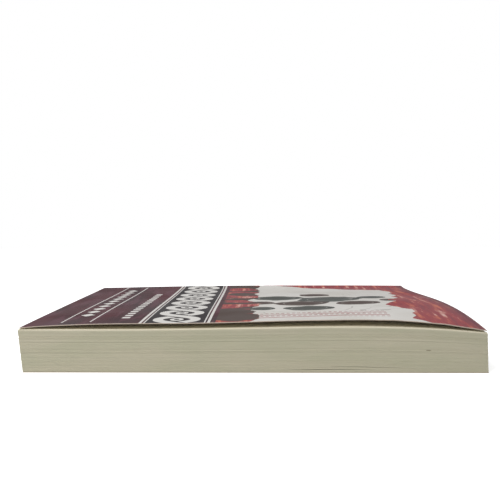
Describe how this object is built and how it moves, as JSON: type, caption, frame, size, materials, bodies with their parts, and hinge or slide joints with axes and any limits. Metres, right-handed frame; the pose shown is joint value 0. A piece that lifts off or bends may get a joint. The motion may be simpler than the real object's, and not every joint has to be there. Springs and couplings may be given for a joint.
{
  "type": "paperback book",
  "caption": "Perfect-bound paperback lying on its back cover, its glued block of leaves in a bowed card cover whose front and back panels fold open at scored hinges.",
  "frame": {"origin": "middle of the book's footprint, on the surface that it lies on", "axes": "+X from the tail to the head, +Y from the fore-edge to the spine, +Z from the back cover to the front cover"},
  "size_m": [0.1994, 0.129, 0.0232],
  "materials": {
    "page_paper": "uncoated, slightly yellowed book paper",
    "binding_glue": "dried hot-melt glue, matte",
    "cover_card": null
  },
  "bodies": {
    "book_block": {"page_block": "page_paper", "binding_glue": "binding_glue", "spine_cover": "cover_card"},
    "front_cover": {"front_cover": "cover_card"},
    "back_cover": {"back_cover": "cover_card"}
  },
  "joints": [
    {"name": "front_cover_hinge", "type": "hinge", "parent": "book_block", "child": "front_cover", "pos_m": [0, 0.0565, 0.01985], "axis": [-1, 0, 0], "range_deg": [0, 175]},
    {"name": "back_cover_hinge", "type": "hinge", "parent": "book_block", "child": "back_cover", "pos_m": [0, 0.0565, -0.0007], "axis": [1, 0, 0], "range_deg": [0, 175]}
  ]
}
